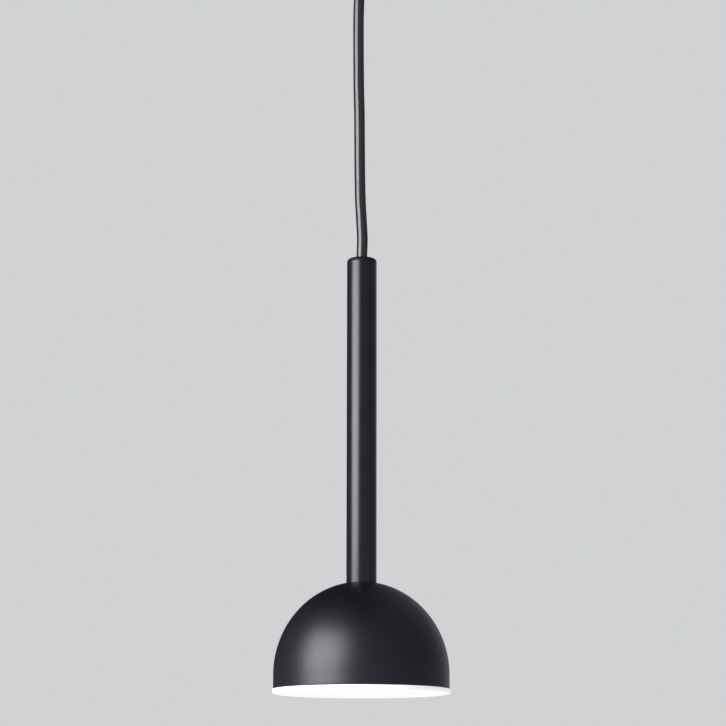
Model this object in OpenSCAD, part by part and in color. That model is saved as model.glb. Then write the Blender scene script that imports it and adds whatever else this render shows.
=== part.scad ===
// Pendant ceiling light: a black dome shade with an opal diffuser, on a tube stem that
// hangs by a thick round cord from a ceiling canopy. Millimetres, +Z up.
// The origin is the middle of the ceiling bracket's top face, and the lamp hangs down -Z.

/* [Dome shade] */
// Outside diameter of the dome shade
dome_d = 125; // [118:0.5:140]
// Height of the elliptical part of the dome above its straight skirt
dome_rise = 65.8; // [60:0.2:75]
// Height of the straight skirt below the elliptical part
skirt_h = 10.4; // [10:0.2:20]
// Sheet thickness of the spun dome
dome_wall = 1.2; // [1:0.1:1.5]

/* [Diffuser] */
// Height of the diffuser's edge band, which shows below the dome's rim
band_h = 3.2; // [3:0.1:5]
// How far the edge band stands out past the dome on each side
band_proud = 0.65; // [0.2:0.05:1]
// Height of the diffuser's inner skirt above the dome's rim
lens_skirt_h = 9.5; // [9:0.5:10]

/* [Stem] */
// Outside diameter of the stem tube
stem_d = 21.6; // [21.4:0.1:24]
// Height of the stem, from the dome to the top of its cap
stem_h = 237; // [120:1:260]
// Wall of the stem tube
stem_wall = 1.2; // [1:0.1:1.4]
// Thickness of the cap that closes the top of the stem
cap_h = 3; // [3:0.1:3.4]

/* [Canopy] */
// Outside diameter of the ceiling canopy
canopy_d = 100; // [98:1:120]
// Height of the ceiling canopy
canopy_h = 28; // [28:0.5:30]
// Sheet thickness of the canopy
canopy_wall = 1.2; // [1:0.1:1.5]
// Distance between the middles of the two ceiling screw slots
slot_pitch = 60; // [58:1:64]
// Width of a ceiling screw slot
slot_w = 4.5; // [4:0.1:5.5]
// Length of a ceiling screw slot from end to end
slot_l = 12; // [8:0.5:13]

/* [Lamp] */
// Diameter of the bulb's frosted envelope
bulb_d = 15; // [14:0.5:17]
// How far the bulb reaches below the face of its holder
bulb_reach = 33; // [28:0.5:33]

/* [Hidden] */
$fn = 96;
// Overcut that keeps two faces of a cut from lying on each other
eps = 0.01;
// Running gap between two pieces that fit one in the other
fit = 0.05;
// Sides of the screws, cores and other small round pieces
small_fn = 32;

// Cord: round flexible cable with three cores
cord_r = 4;
core_r = 1.1;
core_sides = 8;
core_steps = 6;
cord_sides = 12;
// Where the three cores leave the cord's jacket
live_at = [-1.6, -1];
neutral_at = [1.6, -1];
earth_at = [0, 1.9];

// Levels down from the ceiling
pivot_z = -40;
stem_top_z = -280;
dome_top_z = stem_top_z - stem_h;
dome_r = dome_d / 2;
stem_r = stem_d / 2;
stem_bore_r = stem_r - stem_wall;
// The dome's top is flat under the stem's foot
dome_flat_drop = dome_rise * (1 - sqrt(1 - pow(stem_r / dome_r, 2)));
dome_mid_z = dome_top_z + dome_flat_drop - dome_rise;
rim_z = dome_mid_z - skirt_h;
dome_bore_r = dome_r - dome_wall;
dome_steps = 36;

// Cord route, from the gland down to the stem
cord_route = [
    [0, 0, -40], [0, 0, -43], [-0.5, 0, -55], [-1.6, 0, -70], [-2.4, 0, -85], [-2.7, 0, -100],
    [-2.7, 0, -115], [-2.6, 0, -130], [-2.5, 0, -145], [-2.2, 0, -160], [-1.9, 0, -175],
    [-1.8, 0, -190], [-1.7, 0, -205], [-1.5, 0, -220], [-1.2, 0, -235], [-0.4, 0, -250],
    [0.3, 0, -265], [0, 0, -277], [0, 0, -280]
];

// Route of the neutral core from the jacket's end to its terminal, which the live core mirrors
supply_route = [
    [1.6, -1, -17.5], [1.6, -1, -16.2], [2.4, -2.4, -14.8], [5, -6.5, -14.4], [9, -11, -14.2],
    [14, -14, -14.6], [24, -12, -16], [28, -2, -17], [24, 8, -15], [16, 12, -10],
    [9, 13, -8], [8, 17, -8]
];
// Route of the earth core from the jacket's end to the bracket's earth screw
earth_route = [
    [0, 1.9, -17.5], [0, 1.9, -16.2], [0.3, 3.4, -14.8], [1.2, 6.5, -14.6], [3, 10, -16],
    [6, 13, -19.5], [10, 13.5, -22], [14, 12, -23], [20, 5, -22], [22, -3, -17],
    [20, -8, -10], [18, -7.5, -5], [17, -5, -3]
];

// Canopy
canopy_r = canopy_d / 2;
canopy_gap = 0.4;
canopy_edge_r = 4;
side_screw_z = -7;
side_screw_r = 1.95;
side_notch_r = 2.2;

// Ceiling bracket
plate_t = 1.5;
strap_w = 24;
tab_w = 12;
tab_x = canopy_r - 2.4;
tab_h = 13;
arm_w = 28;
arm_y = 36;
mains_hole_r = 6;
earth_x = 16;
earth_screw_r = 1.95;
cup_washer_r = 4;
cup_washer_t = 0.6;

// Terminal block
block_y = 16;
block_size = [25, 16, 13];
block_low_z = -plate_t - block_size[2];
pole_pitch = 8;
pole_w = 6.4;
// How far the three poles stand below the block's body
pole_stand = 4;
entry_z = -8;
entry_r = 1.7;
pole_screw_y = [19.8, 28.2];
pole_screw_r = 1.6;
pole_screw_depth = 1.5;
block_screw_at = [pole_pitch / 2, 24];
block_screw_r = 1.45;
block_head_r = 2.6;
block_pocket_h = 5.5;

// Knurled side screws of the canopy
side_head_r = 4.5;
side_head_t = 3;
side_head_x = canopy_r + 0.15;
side_tip_x = tab_x - plate_t - 2;

// Gland with its ball
gland_shank_r = 6.5;
gland_top_z = -18;
jacket_top_z = gland_top_z + 0.5;
gland_flange_r = 12;
gland_flange_t = 2;
gland_r = 10;
gland_neck_r = 9;
collar_top_z = pivot_z + 4;
gland_nose_z = pivot_z - 7;
gland_bore_r = cord_r + 0.2;
grub_r = 1.45;
grub_z = -31.8;
ball_r = 7.5;
ball_half_h = 3.5;
socket_r = ball_r + 0.2;
ball_waist_r = cord_r + 0.2;
ball_mouth_r = cord_r + 1.2;
collar_waist_z = pivot_z - 4;
collar_mouth_r = 7.8;
nut_h = 4;
nut_flats = 17;

// Stem cap and clamp
cap_edge_r = 2.8;
cap_edge_steps = 8;
spigot_h = 14;
bushing_r = 5.8;
bushing_h = 8;
clamp_z = stem_top_z - 10.9;
clamp_screw_r = 1.95;
jacket_end_z = stem_top_z - 25;

// Stem foot, hanging down through the dome
plug_h = 12;
nipple_r = 5;
nipple_bore_r = 3.8;
nipple_top_z = dome_top_z + 10.5;
washer_t = 1.5;
washer_z = dome_top_z - dome_wall;
bracket_top_z = washer_z - washer_t;
strip_t = 1.2;
lock_t = 0.8;
foot_nut_h = 3.5;
foot_nut_flats = 14;
lock_z = bracket_top_z - strip_t;
foot_nut_z = lock_z - lock_t;
nipple_end_z = foot_nut_z - foot_nut_h - 2;

// Lampholder and its bracket
strip_w = 12;
leg_x = 14;
bar_z = bracket_top_z - 12.3;
holder_z = bar_z - strip_t;
holder_size = [26, 15, 14];
holder_screw_x = 9.6;
holder_screw_r = 1.4;
holder_ear_t = 5;
holder_body_w = 16;
core_entry_x = 3;
core_entry_r = 1.3;
pin_pitch = 9;
pin_leg_gap = 1.9;
pin_wire_r = 0.35;
pin_len = 9;
pit_depth = 10.5;
pit_size = [4.4, 2.4];
holder_face_z = holder_z - holder_size[2];
bulb_base_h = 9;
bulb_base_top_z = holder_face_z - 0.3;
bulb_low_z = holder_face_z - bulb_reach;
earth_leg_z = bracket_top_z - 7;
// Pin wires end this far inside the bulb's base
pin_root = 3;

// Earth tag on the holder bracket's leg
leg_face_x = leg_x - strip_t;
tag_t = 0.6;
tag_r = 3;
tag_barrel_r = 1.6;
tag_barrel_x = leg_face_x - 2;
tag_screw_r = 1.45;

// Diffuser and clips
lens_r = dome_r + band_proud;
lens_edge_r = 1.2;
lens_plate_t = 2.6;
lens_low_z = rim_z - band_h;
lens_skirt_r = dome_bore_r - 2.7;
lens_skirt_wall = 1.5;
clip_w = 8;
clip_t = 0.4;
clip_crest_r = dome_bore_r - 0.4;
clip_low_z = rim_z + 0.6;
clip_rivet_z = rim_z + 7.4;
clip_flat_z = rim_z + 5.5;
clip_top_z = rim_z + 9.2;
clip_crest_z = rim_z + 4;
rivet_head_r = 1.7;
rivet_head_t = 0.6;
rivet_r = 1;
clip_count = 3;

// ---- helpers ----

// Points on an arc about (cx, cz), from angle a0 to a1
function arc(cx, cz, r, a0, a1, steps) =
    [for (i = [0:steps]) let (a = a0 + (a1 - a0) * i / steps) [cx + r * cos(a), cz + r * sin(a)]];

function unit(v) = v / norm(v);

// The same route on the other side of the lamp
function mirrored(route) = [for (p = route) [-p[0], p[1], p[2]]];

// Direction of a route at point i
function along(route, i) =
    unit(route[min(i + 1, len(route) - 1)] - route[max(i - 1, 0)]);

// One ring of a tube round route point i, kept untwisted against the side direction
function ring(route, i, r, sides, side) =
    let (
        t = along(route, i),
        u = unit(side - (side * t) * t),
        v = cross(t, u)
    )
    [for (k = [0:sides - 1]) route[i] + r * (cos(360 * k / sides) * u + sin(360 * k / sides) * v)];

// Round tube swept along a route as one closed polyhedron
module swept(route, r, sides, side = [1, 0, 0]) {
    rings = len(route);
    points = [for (i = [0:rings - 1]) each ring(route, i, r, sides, side)];
    walls = [
        for (i = [0:rings - 2], k = [0:sides - 1])
        let (n = (k + 1) % sides)
        each [
            [i * sides + k, i * sides + n, (i + 1) * sides + n],
            [i * sides + k, (i + 1) * sides + n, (i + 1) * sides + k]
        ]
    ];
    start = [[for (k = [sides - 1:-1:0]) k]];
    finish = [[for (k = [0:sides - 1]) (rings - 1) * sides + k]];
    polyhedron(points, concat(start, walls, finish));
}

// Cylinder between two levels
module rod(r, top, low, sides = $fn) {
    translate([0, 0, low]) cylinder(r = r, h = top - low, $fn = sides);
}

// Round tube between two levels
module pipe(outer, inner, top, low) {
    difference() {
        rod(outer, top, low);
        rod(inner, top + eps, low - eps);
    }
}

// Hexagon nut under level top
module hex_nut(flats, bore, top, h) {
    difference() {
        rod(flats / sqrt(3), top, top - h, 6);
        rod(bore, top + eps, top - h - eps, small_fn);
    }
}

// Screw along -Z, with its head under level z and its shank above it
module screw_up(r, head_r, head_h, shank, slot = true) {
    difference() {
        union() {
            translate([0, 0, -eps]) cylinder(r = r, h = shank + eps, $fn = small_fn);
            translate([0, 0, -head_h]) cylinder(r = head_r, h = head_h, $fn = small_fn);
        }
        if (slot)
            translate([-head_r, -0.4, -head_h - eps]) cube([2 * head_r, 0.8, 0.8]);
    }
}

// Headless screw along +Z with a hexagon socket in its far end
module hex_socket_screw(r, length, socket) {
    socket_depth = 2;
    difference() {
        cylinder(r = r, h = length, $fn = small_fn);
        translate([0, 0, length - socket_depth])
            cylinder(r = socket, h = socket_depth + eps, $fn = 6);
    }
}

// Long slot with round ends, along X, to cut away
module slot_hole(length, width, depth) {
    for (side = [-1, 1])
        translate([side * (length - width) / 2, 0, 0]) cylinder(d = width, h = depth, $fn = small_fn);
    translate([-(length - width) / 2, -width / 2, 0]) cube([length - width, width, depth]);
}

// ---- ceiling pieces ----

module ceiling_bracket() {
    depth = plate_t + 2 * eps;
    color("gainsboro")
    difference() {
        union() {
            translate([-tab_x, -strap_w / 2, -plate_t]) cube([2 * tab_x, strap_w, plate_t]);
            translate([-arm_w / 2, 0, -plate_t]) cube([arm_w, arm_y, plate_t]);
            for (side = [-1, 1])
                translate([side * (tab_x - plate_t / 2) - plate_t / 2, -tab_w / 2, -tab_h])
                    cube([plate_t, tab_w, tab_h]);
        }
        // The strap's corners are trimmed to its tabs so that the canopy clears them
        for (sx = [-1, 1], sy = [-1, 1])
            translate([sx * tab_x, sy * strap_w / 2, -plate_t - eps])
                cylinder(r = (strap_w - tab_w) / 2, h = depth, $fn = small_fn);
        rod(mains_hole_r, eps, -plate_t - eps);
        for (side = [-1, 1])
            translate([side * slot_pitch / 2, 0, -plate_t - eps])
                slot_hole(slot_l, slot_w, depth);
        for (side = [0, 180])
            rotate([0, 0, side]) translate([tab_x - plate_t - eps, 0, side_screw_z])
                rotate([0, 90, 0]) cylinder(r = side_screw_r + fit, h = depth, $fn = small_fn);
        translate([earth_x, 0, -plate_t - eps])
            cylinder(r = earth_screw_r + fit, h = depth, $fn = small_fn);
        translate([block_screw_at[0], block_screw_at[1], -plate_t - eps])
            cylinder(r = block_screw_r + fit, h = depth, $fn = small_fn);
    }
}

module terminal_block() {
    body_h = block_size[2] - pole_stand;
    color("white")
    difference() {
        union() {
            translate([-block_size[0] / 2, block_y, -plate_t - body_h])
                cube([block_size[0], block_size[1], body_h]);
            for (pole = [-1:1])
                translate([pole * pole_pitch - pole_w / 2, block_y, block_low_z])
                    cube([pole_w, block_size[1], block_size[2]]);
        }
        for (pole = [-1:1]) {
            translate([pole * pole_pitch, block_y - eps, entry_z])
                rotate([-90, 0, 0]) cylinder(r = entry_r, h = block_size[1] + 2 * eps, $fn = small_fn);
            for (y = pole_screw_y)
                translate([pole * pole_pitch, y, block_low_z - eps])
                    cylinder(r = pole_screw_r + 2 * fit, h = entry_z - block_low_z, $fn = small_fn);
        }
        translate([block_screw_at[0], block_screw_at[1], block_low_z - eps]) {
            cylinder(r = block_screw_r + fit, h = block_size[2] + 2 * eps, $fn = small_fn);
            // Flat pocket for the fixing screw's head
            cylinder(r = block_head_r + 2 * fit, h = block_pocket_h, $fn = small_fn);
        }
    }
}

module terminal_screws() {
    color("gold")
    for (pole = [-1:1], y = pole_screw_y)
        translate([pole * pole_pitch, y, block_low_z + pole_screw_depth])
            screw_up(pole_screw_r, pole_screw_r, 0.5, 3.2);
}

module block_fixing_screw() {
    head_z = block_low_z + block_pocket_h - fit;
    color("silver")
    translate([block_screw_at[0], block_screw_at[1], head_z])
        screw_up(block_screw_r, block_head_r, 1.6, -0.2 - head_z);
}

module bracket_earth_screw() {
    color("gold")
    translate([earth_x, 0, -plate_t - cup_washer_t]) {
        screw_up(earth_screw_r, 3.5, 2, plate_t + cup_washer_t - 0.2);
        // Cup washer that grips the earth core
        cylinder(r = cup_washer_r, h = cup_washer_t - eps, $fn = small_fn);
    }
}

module canopy_side_screws() {
    color("dimgray")
    for (side = [0, 180])
        rotate([0, 0, side]) translate([0, 0, side_screw_z]) {
            translate([side_tip_x, 0, 0]) rotate([0, 90, 0])
                cylinder(r = side_screw_r, h = side_head_x + eps - side_tip_x, $fn = small_fn);
            translate([side_head_x, 0, 0]) rotate([0, 90, 0])
                cylinder(r = side_head_r, h = side_head_t, $fn = 48);
        }
}

// ---- canopy pieces ----

module canopy_cup() {
    top = -canopy_gap;
    outer = concat(
        [[0, -canopy_h]],
        arc(canopy_r - canopy_edge_r, -canopy_h + canopy_edge_r, canopy_edge_r, -90, 0, 8),
        [[canopy_r, top], [canopy_r - canopy_wall, top]]
    );
    inner = concat(
        arc(canopy_r - canopy_edge_r, -canopy_h + canopy_edge_r,
            canopy_edge_r - canopy_wall, 0, -90, 8),
        [[0, -canopy_h + canopy_wall]]
    );
    color("#1b1b1d")
    difference() {
        rotate_extrude() polygon(concat(outer, inner));
        rod(gland_shank_r + 0.1, -canopy_h + canopy_wall + 1, -canopy_h - 1);
        // Open notches that let the canopy down off its loosened side screws
        for (side = [0, 180])
            rotate([0, 0, side]) translate([canopy_r - 2 * canopy_wall, 0, side_screw_z]) {
                rotate([0, 90, 0]) cylinder(r = side_notch_r, h = 3 * canopy_wall, $fn = small_fn);
                translate([0, -side_notch_r, 0]) cube([3 * canopy_wall, 2 * side_notch_r, 20]);
            }
    }
}

module cord_gland() {
    color("#1b1b1d")
    difference() {
        union() {
            rod(gland_shank_r - fit, gland_top_z, -canopy_h);
            rod(gland_flange_r, -canopy_h, -canopy_h - gland_flange_t);
            rod(gland_r, -canopy_h - gland_flange_t, collar_top_z);
            rod(gland_neck_r, collar_top_z + eps, pivot_z);
        }
        rod(gland_bore_r, gland_top_z + eps, pivot_z - eps);
        translate([0, 0, pivot_z]) sphere(r = socket_r);
        translate([0, 0, grub_z]) rotate([0, 90, 0])
            cylinder(r = grub_r + fit, h = gland_flange_r + 1, $fn = small_fn);
    }
}

module gland_nut() {
    color("silver")
    hex_nut(nut_flats, gland_shank_r, -canopy_h + canopy_wall + nut_h, nut_h);
}

module gland_grub_screw() {
    length = gland_r - cord_r - 0.4;
    color("dimgray")
    translate([cord_r, 0, grub_z]) rotate([0, 90, 0])
        hex_socket_screw(grub_r, length, 0.9);
}

module gland_collar() {
    nose_edge = 2;
    outline = concat(
        [[gland_neck_r + fit, collar_top_z - fit], [gland_r, collar_top_z - fit]],
        arc(gland_r - nose_edge, gland_nose_z + nose_edge, nose_edge, 0, -90, 6),
        [[collar_mouth_r, gland_nose_z], [sqrt(pow(socket_r, 2) - 16), collar_waist_z],
         [socket_r, pivot_z - fit], [gland_neck_r + fit, pivot_z - fit]]
    );
    color("#1b1b1d")
    difference() {
        rotate_extrude() polygon(outline);
        translate([0, 0, pivot_z]) sphere(r = socket_r);
    }
}

module cord_in_canopy() {
    color("#151517")
    rod(cord_r, jacket_top_z, pivot_z);
}

module canopy_live_core() {
    color("saddlebrown")
    swept(mirrored(supply_route), core_r, core_sides, [-1, 0, 1]);
}

module canopy_neutral_core() {
    color("royalblue")
    swept(supply_route, core_r, core_sides, [1, 0, 1]);
}

module canopy_earth_core() {
    color("limegreen")
    swept(earth_route, core_r, core_sides, [1, 1, 1]);
}

module gland_ball() {
    color("#2a2a2c")
    difference() {
        intersection() {
            translate([0, 0, pivot_z]) sphere(r = ball_r);
            rod(ball_r + 1, pivot_z + ball_half_h, pivot_z - ball_half_h);
        }
        rod(ball_waist_r, pivot_z + ball_half_h + eps, pivot_z - ball_half_h - eps);
        // The bore opens both ways from its waist, so that the cord can lean in it
        for (side = [0, 180])
            translate([0, 0, pivot_z]) rotate([side, 0, 0])
                cylinder(r1 = ball_waist_r, r2 = ball_mouth_r, h = ball_half_h + eps);
    }
}

module cord() {
    color("#151517")
    swept(cord_route, cord_r, cord_sides);
}

// ---- stem ----

module stem_cap() {
    edge = arc(stem_r - cap_edge_r, stem_top_z - cap_edge_r, cap_edge_r, 90, 0, cap_edge_steps);
    outline = concat(
        [[0, stem_top_z]],
        edge,
        [[stem_r, stem_top_z - cap_h], [stem_bore_r - fit, stem_top_z - cap_h],
         [stem_bore_r - fit, stem_top_z - spigot_h], [0, stem_top_z - spigot_h]]
    );
    color("#1b1b1d")
    difference() {
        rotate_extrude() polygon(outline);
        rod(cord_r + 0.1, stem_top_z + 1, stem_top_z - spigot_h - 1);
        rod(bushing_r + fit, stem_top_z + 1, stem_top_z - bushing_h);
        translate([0, 0, clamp_z]) rotate([-90, 0, 0])
            cylinder(r = clamp_screw_r + fit, h = stem_r + 1, $fn = small_fn);
    }
}

module cord_bushing() {
    color("#2a2a2c")
    pipe(bushing_r, cord_r + fit, stem_top_z - 0.2, stem_top_z - bushing_h);
}

module cord_clamp_screw() {
    length = stem_bore_r - cord_r - 0.6;
    color("silver")
    translate([0, cord_r, clamp_z]) rotate([-90, 0, 0])
        hex_socket_screw(clamp_screw_r, length, 1.2);
}

module cord_in_stem() {
    color("#151517")
    rod(cord_r, stem_top_z, jacket_end_z);
}

module stem_tube() {
    color("#1b1b1d")
    pipe(stem_r, stem_bore_r, stem_top_z - cap_h, dome_top_z);
}

module stem_plug() {
    color("silver")
    pipe(stem_bore_r - fit, nipple_r, dome_top_z + plug_h, dome_top_z);
}

module threaded_nipple() {
    color("silver")
    pipe(nipple_r - fit, nipple_bore_r, nipple_top_z, nipple_end_z);
}

// ---- dome and what it holds ----

module dome_shade() {
    // Ellipse angle at which the flat top starts
    outer_start = acos(stem_r / dome_r);
    inner_r = dome_r - dome_wall;
    inner_rise = dome_rise - dome_wall;
    flat_z = dome_top_z - dome_wall;
    inner_start = asin((flat_z - dome_mid_z) / inner_rise);
    outer = [
        for (i = [0:dome_steps])
        let (a = outer_start * (1 - i / dome_steps))
        [dome_r * cos(a), dome_mid_z + dome_rise * sin(a)]
    ];
    inner = [
        for (i = [0:dome_steps])
        let (a = inner_start * i / dome_steps)
        [inner_r * cos(a), dome_mid_z + inner_rise * sin(a)]
    ];
    outline = concat(
        [[nipple_r + 0.1, dome_top_z]],
        outer,
        [[dome_r, rim_z], [inner_r, rim_z]],
        inner,
        [[nipple_r + 0.1, flat_z]]
    );
    color("#1b1b1d")
    rotate_extrude() polygon(outline);
}

module dome_washer() {
    color("silver")
    pipe(9.5, nipple_r + 0.1, washer_z, bracket_top_z);
}

module lock_washer() {
    color("silver")
    pipe(8.5, nipple_r + 0.1, lock_z, foot_nut_z);
}

module nipple_nut() {
    color("silver")
    hex_nut(foot_nut_flats, nipple_r, foot_nut_z, foot_nut_h);
}

module holder_bracket() {
    depth = strip_t + 2 * eps;
    leg_h = bracket_top_z - holder_z;
    color("silver")
    difference() {
        union() {
            for (z = [bracket_top_z - strip_t, holder_z])
                translate([-leg_x, -strip_w / 2, z]) cube([2 * leg_x, strip_w, strip_t]);
            for (x = [-leg_x, leg_face_x])
                translate([x, -strip_w / 2, holder_z]) cube([strip_t, strip_w, leg_h]);
        }
        rod(nipple_r + 0.1, bracket_top_z + eps, lock_z - eps);
        // Window for the cores
        translate([-5, -3, holder_z - eps]) cube([10, 6, depth]);
        for (side = [-1, 1])
            translate([side * holder_screw_x, 0, holder_z - eps])
                cylinder(r = holder_screw_r + 0.2, h = depth, $fn = small_fn);
        translate([leg_face_x - eps, 0, earth_leg_z])
            rotate([0, 90, 0]) cylinder(r = tag_screw_r + fit, h = depth, $fn = small_fn);
    }
}

module lampholder() {
    ear_z = holder_z - holder_ear_t;
    color("ivory")
    difference() {
        union() {
            translate([-holder_size[0] / 2, -holder_size[1] / 2, ear_z])
                cube([holder_size[0], holder_size[1], holder_ear_t]);
            rod(holder_size[1] / 2, ear_z + eps, holder_face_z);
            translate([-holder_body_w / 2, -holder_size[1] / 2, holder_face_z])
                cube([holder_body_w, holder_size[1], ear_z + eps - holder_face_z]);
        }
        for (side = [-1, 1]) {
            translate([side * pin_pitch / 2 - pit_size[0] / 2, -pit_size[1] / 2, holder_face_z - eps])
                cube([pit_size[0], pit_size[1], pit_depth]);
            // Blind entries for the cores, above the pits
            translate([side * core_entry_x, 0, holder_z - 2])
                cylinder(r = core_entry_r, h = 3, $fn = small_fn);
            translate([side * holder_screw_x, 0, holder_z - 4.5])
                cylinder(r = holder_screw_r + fit, h = 5, $fn = small_fn);
        }
    }
}

module holder_contacts() {
    color("goldenrod")
    for (side = [-1, 1], face = [-1, 1])
        translate([side * pin_pitch / 2 - 1.8, face * 0.9 - 0.3, holder_face_z + 1.5])
            cube([3.6, 0.6, pit_depth - 2]);
}

module holder_screws() {
    color("silver")
    for (side = [-1, 1])
        translate([side * holder_screw_x, 0, bar_z])
            rotate([180, 0, 0]) screw_up(holder_screw_r, 2.6, 1.8, strip_t + 4);
}

module earth_tag() {
    reach = 5.2;
    color("gold")
    difference() {
        union() {
            translate([leg_face_x - tag_t, 0, earth_leg_z])
                rotate([0, 90, 0]) cylinder(r = tag_r, h = tag_t, $fn = small_fn);
            translate([leg_face_x - tag_t, 0, earth_leg_z - tag_r / 2]) cube([tag_t, reach, tag_r]);
            translate([tag_barrel_x, reach - 2, earth_leg_z])
                rotate([-90, 0, 0]) cylinder(r = tag_barrel_r, h = 2.6, $fn = small_fn);
        }
        translate([leg_face_x - 2 * tag_t, 0, earth_leg_z])
            rotate([0, 90, 0]) cylinder(r = tag_screw_r + 2 * fit, h = 3 * tag_t, $fn = small_fn);
    }
}

module earth_screw() {
    color("gold")
    translate([leg_face_x - tag_t, 0, earth_leg_z])
        rotate([0, 90, 0]) screw_up(tag_screw_r, 2.6, 1.6, tag_t + 2);
}

// Last stations of the neutral core, into the lampholder
holder_tail = [[2.4, -0.6, bar_z + 1], [core_entry_x, 0, holder_z - 0.6]];

// Core that runs from the cord's jacket down the stem and out of the nipple
module stem_core(at, tail) {
    fall = jacket_end_z - nipple_end_z - 1;
    down = [for (i = [0:core_steps]) [at[0], at[1], jacket_end_z - fall * i / core_steps]];
    swept(concat(down, tail), core_r, core_sides, [1, 0.2, 0]);
}

module live_core() {
    color("saddlebrown")
    stem_core(live_at, mirrored(holder_tail));
}

module neutral_core() {
    color("royalblue")
    stem_core(neutral_at, holder_tail);
}

module earth_core() {
    color("limegreen")
    stem_core(earth_at, [
        [0.3, 3.2, nipple_end_z - 1.2], [1.6, 6.2, nipple_end_z - 2],
        [5, 8.8, nipple_end_z - 1.6], [9, 8.6, nipple_end_z - 0.4],
        [tag_barrel_x, 7, earth_leg_z], [tag_barrel_x, 5.8, earth_leg_z]
    ]);
}

// ---- bulb ----

module bulb_base() {
    color("whitesmoke")
    difference() {
        union() {
            translate([-4.5, -4, bulb_base_top_z - bulb_base_h]) cube([9, 8, bulb_base_h]);
            for (side = [-1, 1])
                translate([side * 4.5, 0, bulb_base_top_z - bulb_base_h])
                    cylinder(r = 4, h = bulb_base_h, $fn = small_fn);
        }
        for (side = [-1, 1], leg = [-1, 1])
            translate([side * pin_pitch / 2 + leg * pin_leg_gap / 2, 0, bulb_base_top_z - pin_root])
                cylinder(r = pin_wire_r + 0.02, h = pin_root + 1, $fn = small_fn);
    }
}

module bulb_pins() {
    bend_r = pin_leg_gap / 2;
    bend_z = holder_face_z + pin_len - bend_r;
    color("silver")
    for (side = [-1, 1])
        translate([side * pin_pitch / 2, 0, 0]) {
            for (leg = [-1, 1])
                translate([leg * bend_r, 0, bulb_base_top_z - pin_root])
                    cylinder(r = pin_wire_r, h = bend_z - bulb_base_top_z + pin_root, $fn = small_fn);
            translate([0, 0, bend_z]) intersection() {
                rotate([90, 0, 0]) rotate_extrude($fn = 48)
                    translate([bend_r, 0]) circle(r = pin_wire_r, $fn = small_fn);
                translate([-3, -3, 0]) cube([6, 6, 3]);
            }
        }
}

module bulb_envelope() {
    r = bulb_d / 2;
    top = bulb_base_top_z - bulb_base_h;
    outline = concat(
        [[0, top], [r - 2, top]],
        arc(r - 2, top - 2, 2, 90, 0, 6),
        arc(0, bulb_low_z + r, r, 0, -90, 16)
    );
    color("white")
    rotate_extrude() polygon(outline);
}

// ---- diffuser ----

module clip_angles() {
    for (i = [0:clip_count - 1])
        rotate([0, 0, 90 + i * 360 / clip_count]) children();
}

module diffuser() {
    skirt_in = lens_skirt_r - lens_skirt_wall;
    top_edge = 0.4;
    outline = concat(
        [[0, lens_low_z]],
        arc(lens_r - lens_edge_r, lens_low_z + lens_edge_r, lens_edge_r, -90, 0, 8),
        arc(lens_r - top_edge, rim_z - top_edge, top_edge, 0, 90, 4),
        [[lens_skirt_r, rim_z], [lens_skirt_r, rim_z + lens_skirt_h],
         [skirt_in, rim_z + lens_skirt_h], [skirt_in, lens_low_z + lens_plate_t],
         [0, lens_low_z + lens_plate_t]]
    );
    color("white")
    difference() {
        rotate_extrude() polygon(outline);
        clip_angles()
            translate([skirt_in - 1, 0, clip_rivet_z])
                rotate([0, 90, 0]) cylinder(r = rivet_r + fit, h = lens_skirt_wall + 2, $fn = small_fn);
    }
}

module diffuser_clips() {
    back = lens_skirt_r;
    front = back + clip_t;
    crest_back = clip_crest_r - clip_t;
    bend = 0.2;
    // Leaf that lies on the skirt at its top, bows out to the dome and returns at its foot
    outline = [
        [back, clip_top_z], [front, clip_top_z], [front, clip_flat_z],
        [clip_crest_r, clip_crest_z + 0.5], [clip_crest_r, clip_crest_z - 0.5],
        [front, clip_low_z], [back, clip_low_z],
        [crest_back, clip_crest_z - 0.5 + bend / 2], [crest_back, clip_crest_z + 0.5 - bend / 2],
        [back, clip_flat_z - bend]
    ];
    color("lightsteelblue")
    clip_angles()
        difference() {
            translate([0, clip_w / 2, 0]) rotate([90, 0, 0]) linear_extrude(clip_w) polygon(outline);
            translate([back - 1, 0, clip_rivet_z])
                rotate([0, 90, 0]) cylinder(r = rivet_r + fit, h = 3, $fn = small_fn);
        }
}

module clip_rivets() {
    inner_face = lens_skirt_r - lens_skirt_wall - fit;
    outer_face = lens_skirt_r + clip_t;
    color("silver")
    clip_angles()
        translate([0, 0, clip_rivet_z]) rotate([0, 90, 0]) {
            translate([0, 0, inner_face - rivet_head_t])
                cylinder(r = rivet_r, h = outer_face - inner_face + 2 * rivet_head_t, $fn = small_fn);
            for (face = [inner_face - rivet_head_t, outer_face])
                translate([0, 0, face]) cylinder(r = rivet_head_r, h = rivet_head_t, $fn = small_fn);
        }
}

ceiling_bracket();
terminal_block();
terminal_screws();
block_fixing_screw();
bracket_earth_screw();
canopy_side_screws();
canopy_cup();
cord_gland();
gland_nut();
gland_grub_screw();
gland_collar();
cord_in_canopy();
canopy_live_core();
canopy_neutral_core();
canopy_earth_core();
gland_ball();
cord();
stem_cap();
cord_bushing();
cord_clamp_screw();
cord_in_stem();
stem_tube();
stem_plug();
threaded_nipple();
dome_shade();
dome_washer();
lock_washer();
nipple_nut();
holder_bracket();
lampholder();
holder_contacts();
holder_screws();
earth_tag();
earth_screw();
live_core();
neutral_core();
earth_core();
bulb_base();
bulb_pins();
bulb_envelope();
diffuser();
diffuser_clips();
clip_rivets();
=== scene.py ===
"""Pendant ceiling light: a black dome shade on a tube stem, hung by a round cord."""
import math

import bmesh
import bpy
from bpy.props import FloatProperty, FloatVectorProperty, IntProperty, PointerProperty
from mathutils import Matrix, Vector


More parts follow.
